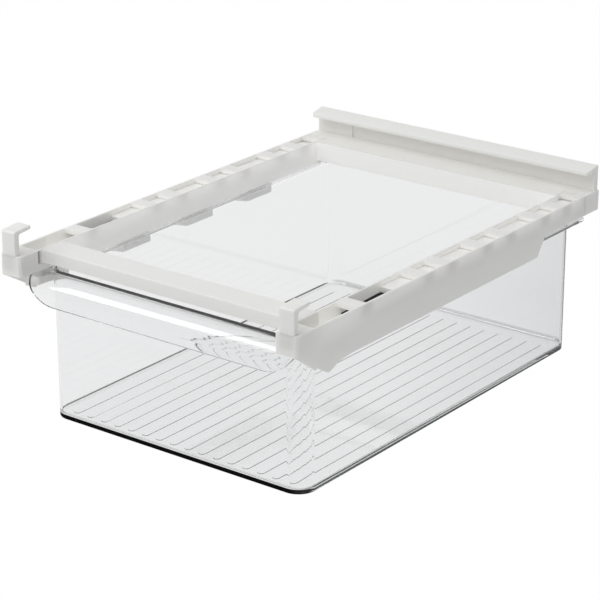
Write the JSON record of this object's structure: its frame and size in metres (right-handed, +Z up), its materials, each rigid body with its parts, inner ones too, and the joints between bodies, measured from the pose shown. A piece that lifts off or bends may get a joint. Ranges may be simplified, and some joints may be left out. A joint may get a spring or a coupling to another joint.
{
  "type": "fridge drawer organizer",
  "caption": "Clear pull-out bin that hangs in a white moulded frame under a fridge shelf, with a frame that lengthens to suit the shelf.",
  "frame": {"origin": "middle of the footprint, on the surface that the bin stands on", "axes": "+X to the right seen from the front, +Y from the pull to the back of the shelf, +Z up"},
  "size_m": [0.2284, 0.3254, 0.1293],
  "materials": {
    "white_plastic": "satin moulded plastic",
    "clear_plastic": "clear polished plastic",
    "dark_grip": "soft matt"
  },
  "bodies": {
    "frame": {"rail_left": "white_plastic", "rail_right": "white_plastic", "front_crossbar": "white_plastic", "hook_left": "white_plastic", "hook_right": "white_plastic"},
    "rear_extension": {"rear_channel": "white_plastic", "arm_left": "white_plastic", "arm_right": "white_plastic", "grip_pad_left": "dark_grip", "grip_pad_right": "dark_grip"},
    "drawer": {"drawer_bin": "clear_plastic"}
  },
  "joints": [
    {"name": "drawer_slide", "type": "slide", "parent": "frame", "child": "drawer", "axis": [0, -1, 0], "range_m": [0, 0.22]},
    {"name": "frame_extension", "type": "slide", "parent": "frame", "child": "rear_extension", "axis": [0, 1, 0], "range_m": [0, 0.06]}
  ]
}
